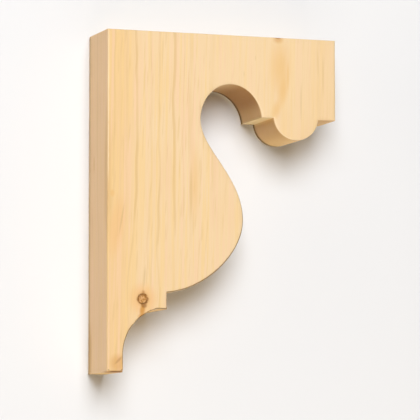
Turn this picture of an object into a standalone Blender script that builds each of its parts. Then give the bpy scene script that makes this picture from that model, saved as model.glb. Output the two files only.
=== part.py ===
"""Corbel bracket sawn from one thick pine board.

The side profile is drawn in X (out from the wall) and Z (up from the foot), then given the
board's thickness along Y. The finished board has its origin in the middle of the wall face.
All lengths are in metres.
"""

import math

import bmesh
import bpy
from mathutils import Matrix, Vector

# The board that the bracket is sawn from
HEIGHT = 0.254
PROJECTION = 0.181
THICKNESS = 0.047
ARRIS_RADIUS = 0.001

# The arm's underside, from its end towards the wall: a flat, a round drop and a second flat
ARM_DEPTH = 0.0614
END_FLAT = 0.0138
DROP_WIDTH = 0.0362
DROP_SWEEP = math.radians(167)
INNER_FLAT = 0.0096

# The arch between the drop and the neck is part of an ellipse
ARCH_WIDTH = 0.0486
ARCH_RISE = 0.0241
ARCH_WIDEST_BELOW_FLATS = 0.0033

# The belly, where the profile swells out again under the arch
BELLY_REACH = 0.1065
BELLY_LEVEL = 0.1147
NECK_PULL = 0.0224
BELLY_UPPER_PULL = 0.033
BELLY_LOWER_PULL = 0.026
SEAT_PULL = 0.0289
SEAT_SLOPE = math.radians(4.1)

# The notch that ends the belly, and its small flat
NOTCH_REACH = 0.0466
NOTCH_TOP = 0.0593
NOTCH_DEPTH = 0.0124
NOTCH_FLAT = 0.0079

# The hollow foot, a cove over a short upright heel
FOOT_WIDTH = 0.0126
HEEL_HEIGHT = 0.0128
COVE_SWEEP = math.radians(75.6)

# How finely curves and the eased arris are faceted
FACET_LENGTH = 0.002
FEWEST_FACETS = 4
ARRIS_STEPS = 3
SMOOTH_ANGLE = math.radians(32)


def steps_for(length):
    """Number of facets for a curve of about this length."""
    return max(FEWEST_FACETS, round(length / FACET_LENGTH))


def arc(start, end, sweep):
    """Points after start along a circular arc to end, turning left by sweep (right if negative)."""
    start, end = Vector(start), Vector(end)
    chord = end - start
    radius = chord.length / (2 * math.sin(abs(sweep) / 2))
    to_centre = Vector((-chord.y, chord.x)).normalized() * radius * math.cos(sweep / 2)
    centre = (start + end) / 2 + to_centre * math.copysign(1, sweep)
    first = start - centre
    count = steps_for(radius * abs(sweep))
    points = []
    for i in range(1, count + 1):
        turn = sweep * i / count
        points.append(centre + Matrix.Rotation(turn, 2) @ first)
    return points


def ellipse(centre, half_width, half_height, start_angle, end_angle):
    """Points after start_angle along an ellipse, to end_angle."""
    mean_radius = (half_width + half_height) / 2
    count = steps_for(mean_radius * abs(end_angle - start_angle))
    points = []
    for i in range(1, count + 1):
        angle = start_angle + (end_angle - start_angle) * i / count
        offset = Vector((half_width * math.cos(angle), half_height * math.sin(angle)))
        points.append(Vector(centre) + offset)
    return points


def bezier(start, start_pull, end_pull, end):
    """Points after start along a cubic curve; each pull is an offset from its own end."""
    start, end = Vector(start), Vector(end)
    leave, arrive = start + Vector(start_pull), end + Vector(end_pull)
    hull = (leave - start).length + (arrive - leave).length + (end - arrive).length
    count = steps_for((hull + (end - start).length) / 2)
    points = []
    for i in range(1, count + 1):
        t = i / count
        u = 1 - t
        points.append(u**3 * start + 3 * u * u * t * leave + 3 * u * t * t * arrive + t**3 * end)
    return points


def side_profile():
    """The bracket's outline, anticlockwise with X to the right and Z up, from the foot's wall corner."""
    flats_level = HEIGHT - ARM_DEPTH
    drop_end = PROJECTION - END_FLAT
    drop_start = drop_end - DROP_WIDTH
    arch_end = drop_start - INNER_FLAT

    arch_half_width = ARCH_WIDTH / 2
    arch_half_height = ARCH_RISE + ARCH_WIDEST_BELOW_FLATS
    end_angle = math.asin(ARCH_WIDEST_BELOW_FLATS / arch_half_height)
    arch_centre = (arch_end - arch_half_width * math.cos(end_angle), flats_level - ARCH_WIDEST_BELOW_FLATS)
    neck = (arch_centre[0] - arch_half_width, arch_centre[1])

    belly = (BELLY_REACH, BELLY_LEVEL)
    seat = (NOTCH_REACH, NOTCH_TOP)
    seat_pull = (SEAT_PULL * math.cos(SEAT_SLOPE), SEAT_PULL * math.sin(SEAT_SLOPE))
    notch_level = NOTCH_TOP - NOTCH_DEPTH
    cove_end = (NOTCH_REACH - NOTCH_FLAT, notch_level)

    outline = [Vector((0, 0)), Vector((FOOT_WIDTH, 0)), Vector((FOOT_WIDTH, HEEL_HEIGHT))]
    outline += arc((FOOT_WIDTH, HEEL_HEIGHT), cove_end, -COVE_SWEEP)
    outline += [Vector((NOTCH_REACH, notch_level)), Vector(seat)]
    outline += bezier(seat, seat_pull, (0, -BELLY_LOWER_PULL), belly)
    outline += bezier(belly, (0, BELLY_UPPER_PULL), (0, -NECK_PULL), neck)
    outline += ellipse(arch_centre, arch_half_width, arch_half_height, math.pi, end_angle)
    outline.append(Vector((drop_start, flats_level)))
    outline += arc((drop_start, flats_level), (drop_end, flats_level), DROP_SWEEP)
    outline += [Vector((PROJECTION, flats_level)), Vector((PROJECTION, HEIGHT)), Vector((0, HEIGHT))]
    return outline


def pine_material():
    """Clear, unfinished pine."""
    material = bpy.data.materials.new("pine")
    material.use_nodes = True
    shader = material.node_tree.nodes["Principled BSDF"]
    shader.inputs["Base Color"].default_value = (0.90, 0.64, 0.36, 1)
    shader.inputs["Roughness"].default_value = 0.55
    shader.inputs["Metallic"].default_value = 0
    return material


def corbel_bracket():
    """The whole bracket: the profile at the board's thickness, with both faces' arrises eased."""
    shape = bmesh.new()
    half = THICKNESS / 2
    near = [shape.verts.new((point.x, -half, point.y - HEIGHT / 2)) for point in side_profile()]
    face = shape.faces.new(near)
    grown = bmesh.ops.extrude_face_region(shape, geom=[face])["geom"]
    far = [item for item in grown if isinstance(item, bmesh.types.BMVert)]
    bmesh.ops.translate(shape, verts=far, vec=(0, THICKNESS, 0))
    bmesh.ops.recalc_face_normals(shape, faces=shape.faces)

    arrises = [edge for edge in shape.edges if edge.verts[0].co.y == edge.verts[1].co.y]
    bmesh.ops.bevel(
        shape,
        geom=arrises,
        offset=ARRIS_RADIUS,
        offset_type="OFFSET",
        segments=ARRIS_STEPS,
        profile=0.5,
        affect="EDGES",
        clamp_overlap=True,
    )
    mesh = bpy.data.meshes.new("corbel_bracket")
    shape.to_mesh(mesh)
    shape.free()
    mesh.shade_smooth()
    mesh.set_sharp_from_angle(angle=SMOOTH_ANGLE)
    mesh.materials.append(pine_material())
    board = bpy.data.objects.new("corbel_bracket", mesh)
    bpy.context.scene.collection.objects.link(board)
    return board


for old in list(bpy.data.objects):
    bpy.data.objects.remove(old, do_unlink=True)
corbel_bracket()
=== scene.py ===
# %% [markdown]
# # A sawn pine corbel bracket
#
# The object is one thick pine board, sawn to a scrolled outline: a deep arm on top, a round
# drop and an arch under it, a full belly, a small notch and a hollow foot. This lesson starts
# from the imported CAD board, which has the right size and outline, and turns it into wood: a
# knot, a drying check, small chips, saw ripples, and a material that grows its own rings.

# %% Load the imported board
import math
import bpy
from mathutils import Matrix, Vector


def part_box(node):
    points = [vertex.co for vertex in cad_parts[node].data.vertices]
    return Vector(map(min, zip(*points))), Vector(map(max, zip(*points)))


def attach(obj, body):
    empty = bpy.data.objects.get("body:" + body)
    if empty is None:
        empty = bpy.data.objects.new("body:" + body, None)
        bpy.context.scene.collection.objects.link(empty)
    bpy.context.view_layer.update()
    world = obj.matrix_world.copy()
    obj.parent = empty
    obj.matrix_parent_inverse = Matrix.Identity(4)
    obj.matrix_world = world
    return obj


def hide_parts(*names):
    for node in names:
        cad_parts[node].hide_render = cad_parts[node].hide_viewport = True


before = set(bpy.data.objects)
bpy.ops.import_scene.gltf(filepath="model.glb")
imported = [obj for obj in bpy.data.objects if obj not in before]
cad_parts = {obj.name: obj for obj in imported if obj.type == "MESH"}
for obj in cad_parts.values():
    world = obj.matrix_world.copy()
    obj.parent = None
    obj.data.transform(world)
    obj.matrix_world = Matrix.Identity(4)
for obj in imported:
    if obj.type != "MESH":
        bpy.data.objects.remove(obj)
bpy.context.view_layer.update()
board_low, board_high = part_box("corbel_bracket")
MM = 0.001
corners = [[round(v / MM, 1) for v in corner] for corner in (board_low, board_high)]
print("board corners at", corners, "in mm")

# %% [markdown]
# ## The board
#
# On the real object this is a 47 mm pine plank, planed on both broad faces and sawn all round.
# The CAD node is loose triangles and stays as it is, so a copy is made. Its doubles are merged
# and its flat triangles joined into whole faces. It could be drawn again from nothing, but the
# copy keeps the outline exactly, and a clean grid laid over it gives relief something to hold.

# %% Copy the board and merge it
BOARD = "pine_board"
TOUCHING = 1e-6
NEARLY_FLAT = math.radians(0.05)

cad_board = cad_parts["corbel_bracket"]
board = bpy.data.objects.new(BOARD, cad_board.data.copy())
bpy.context.scene.collection.objects.link(board)


def choose(piece):
    """Select this piece alone and make it the active one."""
    bpy.ops.object.select_all(action="DESELECT")
    bpy.context.view_layer.objects.active = piece
    piece.select_set(True)


def edit(piece, mode="VERT"):
    """Work on one piece alone, in edit mode, with nothing selected."""
    if bpy.context.object and bpy.context.object.mode == "EDIT":
        bpy.ops.object.mode_set(mode="OBJECT")
    choose(piece)
    bpy.ops.object.mode_set(mode="EDIT")
    bpy.ops.mesh.select_mode(type=mode)
    bpy.ops.mesh.select_all(action="DESELECT")


def edit_done(piece, what):
    """Leave edit mode and say how many faces the piece has."""
    bpy.ops.object.mode_set(mode="OBJECT")
    print(f"{piece.name}: {what}, {len(piece.data.polygons)} faces")


def pick_faces(piece, test):
    """In edit mode, select only the faces whose middle and normal pass the test, in mm."""
    bpy.ops.object.mode_set(mode="OBJECT")
    mesh = piece.data
    mesh.vertices.foreach_set("select", [False] * len(mesh.vertices))
    mesh.edges.foreach_set("select", [False] * len(mesh.edges))
    chosen = [bool(test(face.center / MM, face.normal)) for face in mesh.polygons]
    mesh.polygons.foreach_set("select", chosen)
    bpy.context.tool_settings.mesh_select_mode = (False, False, True)
    bpy.ops.object.mode_set(mode="EDIT")
    return sum(chosen)


edit(board)
bpy.ops.mesh.select_all(action="SELECT")
bpy.ops.mesh.remove_doubles(threshold=TOUCHING)
bpy.ops.mesh.customdata_custom_splitnormals_clear()
bpy.ops.mesh.dissolve_limited(angle_limit=NEARLY_FLAT)
edit_done(board, "merged copy")

# %% [markdown]
# The broad faces get a grid of cuts across and along the grain, and the sawn edges get cuts
# along the plank. A grid could come from a remesh, which would blur the sharp notch; plain
# bisecting keeps every edge where it is.

# %% Lay a grid over it
# The step of the grid in mm, and how far it goes through, out from the wall, and up and down
GRID = 3.0
GRID_THROUGH = 21
GRID_OUT = 180
GRID_UP = 126

# Points closer than this in mm are merged, and a part of a normal below this counts as none
SHORTEST_EDGE = 0.05
NO_LEAN = 0.001

ACROSS, THROUGH, ALONG = (1, 0, 0), (0, 1, 0), (0, 0, 1)


def cuts(places, normal):
    """Cut all faces in view by a row of parallel planes, each at its distance in mm."""
    for place in places:
        bpy.ops.mesh.select_all(action="SELECT")
        point = Vector(normal) * place * MM
        bpy.ops.mesh.bisect(plane_co=point, plane_no=normal, threshold=TOUCHING)


def steps(low, high, step):
    """Evenly spaced places from low to high."""
    return [low + step * i for i in range(int((high - low) / step) + 1)]


def work_on(piece, test):
    """In edit mode, hide all faces but the ones that pass the test."""
    bpy.ops.mesh.reveal(select=False)
    pick_faces(piece, test)
    bpy.ops.mesh.hide(unselected=True)


edit(board, "FACE")
cuts(steps(-GRID_THROUGH, GRID_THROUGH, GRID), THROUGH)
work_on(board, lambda middle, normal: abs(normal.x) < NO_LEAN)
cuts(steps(GRID / 2, GRID_OUT, GRID), ACROSS)
work_on(board, lambda middle, normal: abs(normal.z) < NO_LEAN)
cuts(steps(-GRID_UP, GRID_UP, GRID), ALONG)
bpy.ops.mesh.reveal(select=False)
bpy.ops.mesh.select_all(action="SELECT")
bpy.ops.mesh.remove_doubles(threshold=SHORTEST_EDGE * MM)
edit_done(board, "grid laid")

# %% [markdown]
# ## Relief
#
# Wood is never quite flat. The branch that grew through this plank left a round knot near the
# foot, with a ring of bark about it, a pitch hollow at its lower edge and a drying check above.
# A second, small knot sits at the top edge, a dent near the wall, and the foot's corners are
# chipped. Each is pressed in with soft, proportional moves after the grid is made finer there.
# All moves go inwards, so the board keeps its outer size.

# %% Make the grid finer where it is needed
# The level of the front face, and the places of the relief on it, in mm
FRONT = -23.5
KNOT = Vector((27.5, FRONT, -73.0))
TOP_KNOT = Vector((134.5, FRONT, 126.5))
DENT = (3.8, FRONT, 4.7)
PITCH_HOLLOW = (27.8, FRONT, -77.4)
LEFT_CHIP = Vector((0.6, FRONT, -127))
RIGHT_CHIP = Vector((12.2, FRONT, -127))
BARK_RING_RADIUS = 3.6


def refine(test, parts, name):
    """Split the faces that pass the test into smaller ones."""
    edit(board, "FACE")
    count = pick_faces(board, test)
    bpy.ops.mesh.subdivide(number_cuts=parts - 1)
    edit_done(board, f"{name} refined over {count} faces")


def near(place, reach):
    """A test for faces within reach of a place, on the front or close to it."""
    return lambda middle, normal: (middle - place).length < reach


refine(near(KNOT, 11), 4, "knot")
refine(near(KNOT, 7.5), 3, "knot again")
refine(lambda m, n: m.y < FRONT + 0.01 and abs(m.x - 28.8) < 2 and -68 < m.z < -44, 8, "check")
refine(lambda m, n: m.z < -124 and m.y < -20, 5, "foot edge")
refine(near(TOP_KNOT, 6), 5, "top knot")
refine(near(Vector(DENT), 4), 4, "dent")

# %% Press the knot, the check and the chips in
def press(test, move, reach, name):
    """Move the points that pass the test, in mm, and draw their neighbours along softly."""
    bpy.ops.object.mode_set(mode="OBJECT")
    mesh = board.data
    mesh.polygons.foreach_set("select", [False] * len(mesh.polygons))
    mesh.edges.foreach_set("select", [False] * len(mesh.edges))
    chosen = [bool(test(point.co / MM)) for point in mesh.vertices]
    mesh.vertices.foreach_set("select", chosen)
    bpy.context.tool_settings.mesh_select_mode = (True, False, False)
    bpy.ops.object.mode_set(mode="EDIT")
    bpy.ops.transform.translate(
        value=Vector(move) * MM,
        use_proportional_edit=True,
        proportional_edit_falloff="SMOOTH",
        proportional_size=reach * MM,
        use_proportional_connected=True,
    )
    print(name, "pressed in at", sum(chosen), "points")


def ring(radius, width):
    """A test for points of the front face on a ring round the knot."""
    def on_ring(point):
        away = math.hypot(point.x - KNOT.x, point.z - KNOT.z)
        return point.y < FRONT + 0.5 and abs(away - radius) < width / 2
    return on_ring


def spot(place, radius):
    """A test for points of the front face round one place."""
    x, _, z = place
    return lambda point: point.y < FRONT + 0.5 and math.hypot(point.x - x, point.z - z) < radius


def on_check(point):
    """Whether a point lies on the line of the drying check, which leans a little."""
    sideways = abs(point.x - 28.0 - (point.z + 67) * 0.08)
    return point.y < FRONT + 0.2 and -67 < point.z < -47 and sideways < 0.2


edit(board)
press(ring(BARK_RING_RADIUS, 0.3), (0, 0.16, 0), 0.7, "bark ring")
press(ring(2.4, 0.3), (0, 0.06, 0), 0.5, "knot ring")
press(ring(1.2, 0.3), (0, 0.06, 0), 0.4, "inner knot ring")
press(spot(PITCH_HOLLOW, 0.7), (0, 0.25, 0), 1.3, "pitch hollow")
press(on_check, (0, 0.07, 0), 0.8, "drying check")
press(spot(DENT, 0.8), (0, 0.1, 0), 1.6, "dent")
press(lambda p: (p - TOP_KNOT).length < 1.5, (0, 0.08, -0.08), 2.0, "top knot")
press(lambda p: (p - LEFT_CHIP).length < 0.9, (0.2, 0.35, 0.5), 1.4, "left chip")
press(lambda p: (p - RIGHT_CHIP).length < 0.9, (-0.3, 0.35, 0.6), 1.5, "right chip")
edit_done(board, "relief pressed")

# %% [markdown]
# Sawing and sanding leave the edges a little wavy, and hands ease the corners unevenly. Cloud
# textures in Displace modifiers give that: they only press inwards, because their middle level
# is at the top of the texture's range.

# %% Wavy sawn edges and eased corners
def wavy(name, grain, depth, test):
    """Press a piece's chosen points inwards by a cloud pattern of this grain and depth, in mm."""
    group = board.vertex_groups.new(name=name)
    chosen = [point.index for point in board.data.vertices if test(point.co / MM)]
    group.add(chosen, 1.0, "REPLACE")
    clouds = bpy.data.textures.new(name, "CLOUDS")
    clouds.noise_scale = grain * MM
    clouds.noise_depth = 1
    choose(board)
    waves = board.modifiers.new(name, "DISPLACE")
    waves.texture = clouds
    waves.texture_coords = "LOCAL"
    waves.vertex_group = name
    waves.strength = depth * MM
    waves.mid_level = 1.0
    bpy.ops.object.modifier_apply(modifier=name)
    print(name, "over", len(chosen), "points")


wavy("sawn_waves", 9, 0.12, lambda p: abs(p.y) < 23.3)
wavy("eased_corners", 5, 0.2, lambda p: 22.6 < abs(p.y) < 23.4)

# %% [markdown]
# Where the grid meets the outline, some faces have three points in one line. Left so, an export
# cuts them into slivers with no area. Here they are cut along their best diagonals instead, and
# what is still flat is dissolved, which gives a closed mesh of sound triangles.

# %% Cut the faces into sound triangles
SLIVER = 0.002
SMOOTH_ANGLE = math.radians(32)

edit(board)
bpy.ops.mesh.select_all(action="SELECT")
bpy.ops.mesh.quads_convert_to_tris(quad_method="BEAUTY", ngon_method="BEAUTY")
bpy.ops.mesh.dissolve_degenerate(threshold=SLIVER * MM)
bpy.ops.mesh.select_all(action="SELECT")
bpy.ops.mesh.quads_convert_to_tris(quad_method="BEAUTY", ngon_method="BEAUTY")
edit_done(board, "sound triangles")
choose(board)
bpy.ops.object.shade_smooth_by_angle(angle=SMOOTH_ANGLE)
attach(board, "root")
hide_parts("corbel_bracket")

# %% [markdown]
# ## The camera
#
# The photograph looks at the broad face from the left and from a little below, from far away,
# so that upright edges stay nearly upright. A long lens from over two metres gives that view.
# The place and the turn were found by laying the board's outline over the photograph.

# %% Camera
PHOTO_WIDTH = 420
FOCAL_PIXELS = 3041.61
SENSOR = 36.0
EYE = (-0.67624, -2.1458, -0.21957)
TURN_RIGHT = math.radians(19.612)
LOOK_UP = math.radians(5.430)

camera_data = bpy.data.cameras.new("camera")
camera_data.sensor_width = SENSOR
camera_data.lens = FOCAL_PIXELS * SENSOR / PHOTO_WIDTH
camera = bpy.data.objects.new("camera", camera_data)
camera.location = EYE
camera.rotation_euler = (math.radians(90) + LOOK_UP, 0, -TURN_RIGHT)
bpy.context.scene.collection.objects.link(camera)
bpy.context.scene.camera = camera
print("lens", round(camera_data.lens, 1), "mm at", EYE)

# %% [markdown]
# ## Colours and nodes
#
# Colours are written as the hex values that a paint programme shows. A render works in linear
# light, so one function turns them over. A second small function adds a node to a material with
# its settings, fills its inputs in order with values or with other nodes' outputs, and gives back
# its output, so that every recipe below reads from top to bottom.

# %% Colour and node helpers
def linear(hex_colour):
    """An sRGB hex colour as linear red, green, blue and alpha."""
    channels = []
    for start in (1, 3, 5):
        value = int(hex_colour[start : start + 2], 16) / 255
        channels.append(value / 12.92 if value <= 0.04045 else ((value + 0.055) / 1.055) ** 2.4)
    return (*channels, 1.0)


def add_node(tree, kind, *values, **settings):
    """Add a node with its settings, fill the inputs it uses in order, and return its output."""
    node = tree.nodes.new("ShaderNode" + kind)
    for name, value in settings.items():
        setattr(node, name, value)
    inputs = [socket for socket in node.inputs if socket.enabled]
    for socket, value in zip(inputs, values):
        if isinstance(value, bpy.types.NodeSocket):
            tree.links.new(value, socket)
        elif value is not None:
            socket.default_value = value
    return next(socket for socket in node.outputs if socket.enabled)


SMOOTH = {"interpolation_type": "SMOOTHSTEP"}
TINT = {"data_type": "RGBA"}
INVERSE = {"vector_type": "TEXTURE"}
print("a white of", linear("#FFFFFF"))

# %% [markdown]
# ## Pine
#
# The plank is clear, unfinished pine, planed on its faces: pale cream early wood, soft honey
# coloured lines of late wood, and a silky, half matt surface. Each line is one year's growth, a
# shell round the pith of the tree. A flat wood picture would not turn the corner, so the material
# is a solid pattern: every point knows how far it lies from the pith, which here runs upright
# behind the board. The same shells then make straight lines on the faces and arcs on the end
# grain. The years differ: each has its own width, and some end in a strong line, some hardly.

# %% Where the growth lines lie
PITH = Vector((110, 75, 0))
RING_WIDTH = 4.2
NEAREST_RING = 40.0
FURTHEST_RING = 150.0
PLAIN_YEAR = 0.35

# Where each year ends on the front face, in mm from the wall, and how strong its line is
YEARS_ON_FRONT = (
    (63.4, 0.4), (59.6, 0.3), (51.2, 0.8), (45.4, 0.2), (39.6, 0.8), (32.8, 0.6),
    (28.2, 0.2), (21.6, 1.0), (14.0, 0.35), (9.6, 0.25), (4.2, 0.5),
)


def shell_radius(x):
    """Distance from the pith to the front face at this distance from the wall, in mm."""
    return math.hypot(x - PITH.x, FRONT - PITH.y)


radii = steps(NEAREST_RING, shell_radius(YEARS_ON_FRONT[0][0]) - RING_WIDTH / 2, RING_WIDTH)
strengths = [PLAIN_YEAR] * (len(radii) - 1)
radii += [shell_radius(x) for x, strength in YEARS_ON_FRONT] + [FURTHEST_RING]
strengths += [strength for x, strength in YEARS_ON_FRONT] + [PLAIN_YEAR, PLAIN_YEAR]
print(len(radii), "growth rings, from", radii[0], "to", radii[-1], "mm from the pith")

# %% [markdown]
# Everything irregular in the wood comes from a handful of soft noises, each stretched along the
# grain. Their sizes are real ones in millimetres: the trunk wanders over a hand's length, and a
# fibre streak is under a millimetre wide, about as fine as the render can show.

# %% Noises of the wood
# Size across, through and along the grain in mm, finer layers, and lean in degrees
NOISES = {
    "drift": ((50, 50, 110), 1, 0),
    "ripple": ((12, 12, 26), 1, 0),
    "patches": ((14, 14, 45), 2, 0),
    "clouds": ((33, 33, 80), 2, 0),
    "tones": ((2.8, 2.8, 90), 2, 1),
    "dashes": ((1.5, 1.5, 26), 1, 3),
    "fibres": ((0.9, 0.9, 33), 3, 0),
    "saw": ((1.1, 25, 1.1), 2, 0),
    "knot_dots": ((1.4, 6, 1.4), 0, 0),
    "knot_edge": ((2, 10, 2), 2, 0),
}
PATTERN_APART = 37.0


def wood_noises(tree, mm):
    """The noises by name, each on its own stretch of the pattern."""
    made = {}
    for name, (size, layers, lean) in NOISES.items():
        apart = (PATTERN_APART * len(made), 0, 0)
        tilt = (0, math.radians(lean), 0)
        stretched = add_node(tree, "Mapping", mm, apart, tilt, size, **INVERSE)
        made[name] = add_node(tree, "TexNoise", stretched, 1.0, layers)
    return made


print(len(NOISES), "noises")

# %% [markdown]
# The growth lines come next. The point is first moved a little, by a slow drift, a ripple and a
# lean towards the wall low down, because no trunk is straight. Near a knot the shells bulge, so
# there the point is drawn towards the knot. Then the distance from the pith is read off against
# the years, and each year darkens in its later part, its late wood, and ends sharply.

# %% Growth lines
def draw_curve(output, points):
    """Draw straight lines through these points on a curve node, and return its output."""
    mapping = output.node.mapping
    line = mapping.curves[0]
    for dot, end in zip(line.points, (points[0], points[-1])):
        dot.location = end
    for dot in points[1:-1]:
        line.points.new(*dot)
    for dot in line.points:
        dot.handle_type = "VECTOR"
    mapping.update()
    return output


def growth_lines(tree, mm, place, noises):
    """How dark the late wood is at each point, from 0 to 1."""
    x, _, z = place
    bent = mm
    for name, reach in (("drift", 3.0), ("ripple", 1.6)):
        wander = noises[name].node.outputs["Color"]
        size, middle = (reach, reach, 0), (-reach / 2, -reach / 2, 0)
        wander = add_node(tree, "VectorMath", wander, size, middle, operation="MULTIPLY_ADD")
        bent = add_node(tree, "VectorMath", bent, wander, operation="ADD")
    low_down = add_node(tree, "MapRange", z, -65, 20, 4.0, 0.0, **SMOOTH)
    by_the_wall = add_node(tree, "MapRange", x, 28, 50, 1.0, 0.0, **SMOOTH)
    lean = add_node(tree, "Math", low_down, by_the_wall, operation="MULTIPLY")
    lean = add_node(tree, "CombineXYZ", lean)
    bent = add_node(tree, "VectorMath", bent, lean, operation="ADD")
    for knot, reach in ((KNOT, 18.0), (TOP_KNOT, 12.0)):
        away = add_node(tree, "VectorMath", mm, tuple(knot), operation="SUBTRACT")
        near_knot = add_node(tree, "VectorMath", away, (1, 0, 0.35), operation="MULTIPLY")
        near_knot = add_node(tree, "VectorMath", near_knot, operation="LENGTH")
        pull = add_node(tree, "MapRange", near_knot, 2.0, reach, -0.8, 0.0, **SMOOTH)
        sideways = add_node(tree, "VectorMath", away, (1, 0, 0), operation="MULTIPLY")
        sideways = add_node(tree, "VectorMath", sideways, pull, operation="SCALE")
        bent = add_node(tree, "VectorMath", bent, sideways, operation="ADD")

    flat = add_node(tree, "VectorMath", bent, tuple(PITH), operation="SUBTRACT")
    flat = add_node(tree, "VectorMath", flat, (1, 1, 0), operation="MULTIPLY")
    radius = add_node(tree, "VectorMath", flat, operation="LENGTH")
    share = add_node(tree, "MapRange", radius, NEAREST_RING, FURTHEST_RING)
    last = len(radii) - 1
    span = FURTHEST_RING - NEAREST_RING
    years = [((far - NEAREST_RING) / span, count / last) for count, far in enumerate(radii)]
    year = add_node(tree, "FloatCurve", None, share)
    year = draw_curve(year, years)
    year = add_node(tree, "Math", year, last, operation="MULTIPLY")
    season = add_node(tree, "Math", year, operation="FRACT")
    begun = add_node(tree, "Math", year, operation="FLOOR")
    begun = add_node(tree, "Math", begun, last, operation="DIVIDE")
    strength = add_node(tree, "FloatCurve", None, begun)
    strength = draw_curve(strength, [(count / last, value) for count, value in enumerate(strengths)])

    late = add_node(tree, "MapRange", season, 0.58, 0.82, 0.0, 1.0, **SMOOTH)
    fades = (
        add_node(tree, "MapRange", season, 0.96, 1.0, 1.0, 0.0, **SMOOTH),
        add_node(tree, "MapRange", noises["patches"], 0.34, 0.52, 0.55, 1.0, **SMOOTH),
        add_node(tree, "MapRange", x, 75, 120, 1.0, 0.4, **SMOOTH),
        add_node(tree, "MapRange", z, -45, 5, 0.5, 1.0, **SMOOTH),
        strength,
    )
    for fade in fades:
        late = add_node(tree, "Math", late, fade, operation="MULTIPLY")
    return late


# %% [markdown]
# ## Colours of the pine
#
# Fresh pine is cream, and warmer near the heart. Resin turns it amber round knots and in pitch
# streaks, and a small branch leaves a brown, dotted disc in a ring of bark. The saw leaves the
# cut edges rougher and browner. Painted shade darkens the arch's recess, the drop, the foot's
# underside and a line along the far edge and the lower front edges, and a painted highlight
# lightens the upper front edges. Each mark is a soft spot at its place.

# %% Colours and marks of pine
PALE = linear("#E0C8A2")
WARM = linear("#DCBA86")
LATE = linear("#CEAF7B")
HONEY = linear("#E2C488")
ROSY = linear("#E3C2A4")
AMBER = linear("#C28C42")
RESIN = linear("#DAB479")
CHECK = linear("#AE9560")
HALO = linear("#DDAF74")
KNOT_WOOD = linear("#BC8B4C")
KNOT_PALE = linear("#D0A472")
KNOT_LINE = linear("#9C6A2C")
BARK = linear("#895A1C")
END_GRAIN = linear("#D6BA7C")
RING_END = linear("#A07C44")
PARED = linear("#DECD9C")
SAWN = linear("#BF9654")
# Painted shade for the arch's recess, the drop and the foot's underside, and a darker tone on one
# flat
PAINTED_SHADE_BROWN = linear("#96652C")
# Painted shade: the dark line along the far edge and the lower front edges
PAINTED_EDGE_SHADE = linear("#5C4726")
# Painted highlight: the pale line along the upper front edges
PAINTED_EDGE_HIGHLIGHT = linear("#F0DFBE")
FIBRE = linear("#D2AE74")

# Middle and reach of each mark in mm, its lean in degrees, its colour, and how much of it shows
MARKS = (
    ((27.5, FRONT, -73.0), (14.0, 14.0, 15.0), 0, HALO, 0.65),
    ((27.5, FRONT, -72.8), (6.4, 8.0, 7.2), 0, KNOT_WOOD, 0.65),
    ((27.9, FRONT, -68.6), (1.8, 5.0, 3.4), 0, KNOT_LINE, 0.55),
    ((28.7, FRONT, -57.0), (1.1, 4.0, 12.0), 5, CHECK, 0.3),
    ((27.2, FRONT, -81.0), (2.8, 5.0, 6.0), 10, AMBER, 0.95),
    ((28.4, FRONT, -85.8), (6.0, 8.0, 3.2), 0, AMBER, 0.95),
    ((26.8, FRONT, -87.0), (3.0, 8.0, 1.6), 0, BARK, 0.5),
    ((28.6, FRONT, -77.6), (3.0, 5.0, 2.8), -20, BARK, 0.75),
    ((8.5, FRONT, -120.5), (9.0, 12.0, 9.0), 0, AMBER, 0.5),
    ((8.8, FRONT, -118.3), (1.3, 5.0, 5.4), 45, BARK, 0.32),
    ((136.0, -10.0, 104.0), (13.0, 30.0, 32.0), 0, RESIN, 0.8),
    ((138.5, -10.0, 86.0), (6.0, 30.0, 18.0), 8, RESIN, 0.8),
    ((133.0, -10.0, 72.0), (5.5, 30.0, 13.0), 15, RESIN, 0.8),
    ((142.4, FRONT, 98.0), (1.2, 8.0, 14.0), 0, RESIN, 0.6),
    ((152.9, FRONT, 78.0), (0.8, 8.0, 18.0), 0, CHECK, 0.25),
    ((166.8, FRONT, 108.0), (0.8, 8.0, 14.0), 0, LATE, 0.5),
    ((170.8, FRONT, 100.0), (1.0, 8.0, 22.0), 0, LATE, 0.5),
    ((107.1, FRONT, 98.0), (0.6, 4.0, 3.0), 0, CHECK, 0.22),
    ((116.4, FRONT, 110.5), (0.6, 4.0, 3.0), 0, CHECK, 0.2),
    ((68.0, -10.0, 14.0), (6.0, 30.0, 44.0), 0, RESIN, 0.6),
    ((7.0, FRONT, -20.0), (8.0, 10.0, 30.0), 8, HALO, 0.4),
    ((11.0, FRONT, -14.0), (1.0, 6.0, 16.0), 10, CHECK, 0.3),
    ((65.0, FRONT, 8.0), (1.6, 8.0, 26.0), 0, LATE, 0.6),
    ((134.6, -22.0, 126.0), (6.0, 6.0, 5.0), 0, AMBER, 0.5),
    ((134.6, -22.8, 127.0), (3.0, 3.0, 1.8), 0, KNOT_LINE, 0.8),
    ((3.8, FRONT, 4.7), (2.4, 3.0, 3.8), 0, RESIN, 0.9),
    ((0.0, 10.0, 29.0), (3.0, 1.2, 9.0), 0, SAWN, 0.7),
    ((0.0, 20.0, -112.0), (4.0, 8.0, 30.0), 0, SAWN, 0.6),
    ((0.0, -22.0, 20.0), (4.0, 9.0, 70.0), 0, SAWN, 0.35),
    # Painted shade on the foot's underside and its bottom edge
    ((6.8, FRONT, -127.6), (13.0, 22.0, 2.6), 0, PAINTED_SHADE_BROWN, 0.95),
)
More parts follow.
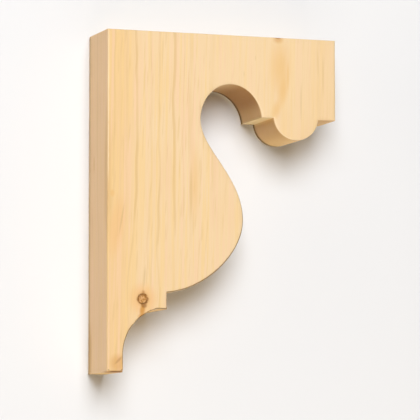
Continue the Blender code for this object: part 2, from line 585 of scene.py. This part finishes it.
# Only on the sawn edges: painted shade in the arch's recess and on the drop, and the tones of the
# arm's two flats
SAWN_MARKS = (
    # Painted shade in the arch's recess and on the drop
    ((116.0, 0.0, 85.5), (27.0, 90.0, 18.5), 0, PAINTED_SHADE_BROWN, 0.68),
    ((134.0, 0.0, 60.0), (15.0, 90.0, 14.0), 0, PAINTED_SHADE_BROWN, 0.25),
    ((127.0, 0.0, 65.6), (10.0, 90.0, 2.4), 0, PARED, 0.75),
    ((174.5, 0.0, 65.6), (9.0, 90.0, 3.0), 0, PAINTED_SHADE_BROWN, 0.3),
)


def distance(tree, mm, middle, reach, lean=0):
    """How far a point lies from a mark's middle, where 1 is its reach."""
    tilt = (0, math.radians(lean), 0)
    centred = add_node(tree, "Mapping", mm, middle, tilt, reach, **INVERSE)
    return add_node(tree, "VectorMath", centred, operation="LENGTH")


# %% [markdown]
# The colours are laid over each other like thin coats: each coat has a pattern, the range of the
# pattern over which it fades, how much of it shows at either end of that range, and a tint.

# %% The coats, one over the other
def coats_of_pine(tree, mm, place, noises, late, sawn):
    """Every coat of colour: its pattern, the range it fades over, its two amounts and its tint."""
    x, y, z = place
    some = add_node(tree, "MapRange", x, 75, 120, 0.45, 0.25, **SMOOTH)
    few = add_node(tree, "MapRange", x, 60, 110, 0.35, 0.15, **SMOOTH)
    coats = [
        (x, 8, 32, 0.75, 0.05, WARM),
        (noises["clouds"], 0.4, 0.7, 0.0, 0.3, WARM),
        (noises["tones"], 0.5, 0.66, 0.0, some, HONEY),
        (noises["tones"], 0.36, 0.48, some, 0.0, ROSY),
        (noises["dashes"], 0.6, 0.72, 0.0, few, LATE),
        (late, 0.0, 1.0, 0.0, 0.7, LATE),
        (noises["fibres"], 0.3, 0.7, 0.12, 0.0, FIBRE),
    ]

    # End grain drinks the light, and so does what the saw left rough
    facing = add_node(tree, "TexCoord").node.outputs["Normal"]
    up = add_node(tree, "VectorMath", facing, (0, 0, 1), operation="DOT_PRODUCT")
    end_grain = add_node(tree, "Math", up, operation="ABSOLUTE")
    if sawn:
        coats.append((end_grain, 0.3, 1.0, 0.0, 0.6, END_GRAIN))
        coats.append((x, 1.0, 4.0, 0.0, 0.4, SAWN))
        coats.append((x, 0.5, 2.0, 0.35, 0.0, ROSY))
        rings = add_node(tree, "Math", late, end_grain, operation="MULTIPLY")
        coats.append((rings, 0.0, 0.6, 0.0, 0.5, RING_END))
    marks = SAWN_MARKS + MARKS if sawn else MARKS
    for middle, reach, lean, tint, amount in marks:
        coats.append((distance(tree, mm, middle, reach, lean), 0.3, 1.0, amount, 0.0, tint))

    # The knot: softened wood, a ring of bark, and a dotted disc in it
    wobble = noises["knot_edge"].node.outputs["Color"]
    size, middle = (2.2, 0, 2.2), (-1.1, 0, -1.1)
    wobble = add_node(tree, "VectorMath", wobble, size, middle, operation="MULTIPLY_ADD")
    wobbly = add_node(tree, "VectorMath", mm, wobble, operation="ADD")
    out = distance(tree, wobbly, KNOT, (1.0, 4.0, 0.95))
    dotted = add_node(tree, "MapRange", out, 2.5, 3.0, 0.8, 0.0, **SMOOTH)
    broken = add_node(tree, "MapRange", noises["knot_dots"], 0.35, 0.6, 0.7, 1.0, **SMOOTH)
    coats += [
        (out, 3.7, 5.1, broken, 0.0, BARK),
        (out, 2.3, 3.0, 1.0, 0.0, KNOT_WOOD),
        (noises["knot_dots"], 0.5, 0.62, 0.0, dotted, KNOT_LINE),
        (noises["knot_dots"], 0.34, 0.46, dotted, 0.0, KNOT_PALE),
    ]

    # Painted shade: a dark line along the far edge of the sawn faces, and along the lower front
    # edges that face down or outwards
    if sawn:
        off_wall = add_node(tree, "MapRange", x, 0, 2, 0.35, 0.85, **SMOOTH)
        inside = add_node(tree, "MapRange", x, 177, 180, off_wall, 0.35, **SMOOTH)
        far_edge_shade = add_node(tree, "MapRange", up, 0.3, 0.8, inside, 0.0, **SMOOTH)
        coats.append((y, 17.5, 20.5, 0.0, far_edge_shade, PAINTED_EDGE_SHADE))
    # Painted shade on the lower front edges, by how far they face down and outwards
    lower_edge_shade = add_node(tree, "VectorMath", facing, (0.6, 0, -0.8), operation="DOT_PRODUCT")
    low_down = add_node(tree, "MapRange", z, 8, 28, 0.9, 0.0, **SMOOTH)
    lower_edge_shade = add_node(tree, "MapRange", lower_edge_shade, 0.15, 0.4, 0.0, low_down, **SMOOTH)
    coats.append((y, -23.4, -22.4, lower_edge_shade, 0.0, PAINTED_EDGE_SHADE))

    # Painted highlight: a pale line along the other edges of the front face
    edge_highlight = add_node(tree, "MapRange", z, 8, 28, 0.0, 0.6, **SMOOTH)
    edge_highlight = add_node(tree, "MapRange", x, 160, 172, edge_highlight, 0.0, **SMOOTH)
    edge_highlight = add_node(tree, "MapRange", up, 0.0, 0.4, edge_highlight, 0.0, **SMOOTH)
    front = add_node(tree, "VectorMath", facing, (0, -1, 0), operation="DOT_PRODUCT")
    edge_highlight = add_node(tree, "MapRange", front, 0.85, 0.97, edge_highlight, 0.0, **SMOOTH)
    coats.append((y, -23.4, -22.4, edge_highlight, 0.0, PAINTED_EDGE_HIGHLIGHT))
    return coats


print(len(MARKS), "marks on the pine")

# %% [markdown]
# Planed pine has a soft sheen, and sawn pine nearly none. To the touch, fibres stand up a little
# after planing, and the saw leaves fine lines across the thickness. Both are too low for the
# mesh, under a tenth of a millimetre, so a bump node gives them.

# %% Make the pine
SHEEN = 0.3
PLANED_ROUGHNESS = (0.48, 0.62)
SAWN_ROUGHNESS = (0.6, 0.75)
BUMP_STRENGTH = 0.35
BUMP_HEIGHT = 0.08

# Sawn wood begins behind this level in mm, on the faces that don't face straight back
EDGES_BEGIN = -22.6
FACING_BACK = 0.98


def pine(name, sawn):
    """Pine with its rings, fibres and knots; a sawn surface is rougher and carries saw lines."""
    material = bpy.data.materials.new(name)
    material.use_nodes = True
    tree = material.node_tree
    shader = tree.nodes["Principled BSDF"]
    shader.inputs["Specular IOR Level"].default_value = SHEEN
    here = add_node(tree, "TexCoord").node.outputs["Object"]
    mm = add_node(tree, "Mapping", here, None, None, (1 / MM, 1 / MM, 1 / MM))
    place = add_node(tree, "SeparateXYZ", mm).node.outputs[:]
    noises = wood_noises(tree, mm)
    late = growth_lines(tree, mm, place, noises)

    colour = PALE
    for pattern, low, high, start, end, tint in coats_of_pine(tree, mm, place, noises, late, sawn):
        amount = add_node(tree, "MapRange", pattern, low, high, start, end, **SMOOTH)
        colour = add_node(tree, "Mix", amount, colour, tint, **TINT)
    tree.links.new(colour, shader.inputs["Base Color"])

    height = add_node(tree, "Math", noises["fibres"], 0.5, late, operation="MULTIPLY_ADD")
    if sawn:
        height = add_node(tree, "Math", height, noises["saw"], operation="ADD")
    bump = add_node(tree, "Bump", BUMP_STRENGTH, BUMP_HEIGHT * MM, None, height)
    tree.links.new(bump, shader.inputs["Normal"])
    smooth, rough = SAWN_ROUGHNESS if sawn else PLANED_ROUGHNESS
    roughness = add_node(tree, "MapRange", noises["fibres"], 0.3, 0.7, smooth, rough, **SMOOTH)
    tree.links.new(roughness, shader.inputs["Roughness"])
    print(name, "has", len(tree.nodes), "nodes")
    return material


board.data.materials.clear()
board.data.materials.append(pine("planed_pine", False))
board.data.materials.append(pine("sawn_pine", True))
edit(board, "FACE")
pick_faces(board, lambda middle, normal: middle.y > EDGES_BEGIN and normal.y < FACING_BACK)
board.active_material_index = 1
bpy.ops.object.material_slot_assign()
edit_done(board, "materials given")

# %% [markdown]
# ## The stage
#
# The board stands in front of a sheet of white paper that nearly touches its far face, so it
# throws a soft shadow on the paper. From behind, the sheet would hide the board, so its material
# is clear where a ray meets its back, and it throws no shadow itself. A pale floor lies well
# below. It glows a little, so that it looks pale, and diffuse rays don't see it, so it bounces no
# light up to the wood. Neither is part of the object.

# %% Floor and paper
FLOOR_LEVEL = -2.2
FLOOR_SIZE = 40
FLOOR_GLOW = 0.85
PAPER_SIZE = 4
PAPER_GAP = 0.0015
PAPER_ROUGHNESS = 0.9


def stage_sheet(name, size, location, rotation):
    """A square sheet of the stage, of this size in m."""
    bpy.ops.object.select_all(action="DESELECT")
    bpy.ops.mesh.primitive_plane_add(size=size, location=location, rotation=rotation)
    sheet = bpy.context.object
    sheet.name = name
    return sheet


def matt_white(name):
    """The material of matt white paper."""
    material = bpy.data.materials.new(name)
    material.use_nodes = True
    shader = material.node_tree.nodes["Principled BSDF"]
    shader.inputs["Base Color"].default_value = linear("#DFE3E9")
    shader.inputs["Roughness"].default_value = PAPER_ROUGHNESS
    return material


floor = stage_sheet("floor", FLOOR_SIZE, (0, 0, FLOOR_LEVEL), (0, 0, 0))
glowing = matt_white("matt_white_floor")
shader = glowing.node_tree.nodes["Principled BSDF"]
shader.inputs["Emission Color"].default_value = linear("#DCDCDA")
shader.inputs["Emission Strength"].default_value = FLOOR_GLOW
floor.data.materials.append(glowing)
floor.visible_diffuse = False

upright = (math.radians(90), 0, 0)
backdrop = stage_sheet("backdrop", PAPER_SIZE, (0, board_high.y + PAPER_GAP, 0), upright)
one_way = matt_white("one_way_paper")
tree = one_way.node_tree
paper = tree.nodes["Principled BSDF"].outputs[0]
behind = add_node(tree, "NewGeometry").node.outputs["Backfacing"]
clear = add_node(tree, "BsdfTransparent")
either = add_node(tree, "MixShader", behind, paper, clear)
tree.links.new(either, tree.nodes["Material Output"].inputs["Surface"])
backdrop.data.materials.append(one_way)
backdrop.visible_shadow = False

# %% [markdown]
# ## Light
#
# One large soft box stands high on the left, beside the camera. Three weaker ones fill in from
# the left, from below and from behind. The room gives a dim, warm fill, and is pale grey where the
# camera sees past the paper.

# %% Soft light
def soft_box(name, location, size, power, tint):
    """A square studio light of this size in m and power in W, turned to the bracket."""
    light = bpy.data.lights.new(name, "AREA")
    light.shape = "SQUARE"
    light.size = size
    light.energy = power
    light.color = linear(tint)[:3]
    lamp = bpy.data.objects.new(name, light)
    lamp.location = location
    lamp.rotation_euler = (-Vector(location)).to_track_quat("-Z", "Y").to_euler()
    bpy.context.scene.collection.objects.link(lamp)


soft_box("key", (-0.49, -3.15, 1.26), 1.96, 131, "#FFFFFF")
soft_box("left_fill", (-2.3, -0.5, 0.2), 1.6, 9, "#FFF0DC")
soft_box("low_fill", (0.0, -0.5, -1.7), 1.2, 17, "#FFECD0")
soft_box("back_fill", (0.8, 2.2, 0.5), 1.4, 45, "#FFFFFF")

ROOM_FILL = 0.17
world = bpy.data.worlds.new("studio")
world.use_nodes = True
tree = world.node_tree
fill = tree.nodes["Background"]
fill.inputs["Color"].default_value = linear("#FFDFB4")
fill.inputs["Strength"].default_value = ROOM_FILL
seen = add_node(tree, "Background", linear("#E4E4E2"), 1.0)
looking = add_node(tree, "LightPath").node.outputs["Is Camera Ray"]
either = add_node(tree, "MixShader", looking, fill.outputs[0], seen)
tree.links.new(either, tree.nodes["World Output"].inputs["Surface"])
bpy.context.scene.world = world
bpy.context.scene.view_settings.view_transform = "Standard"
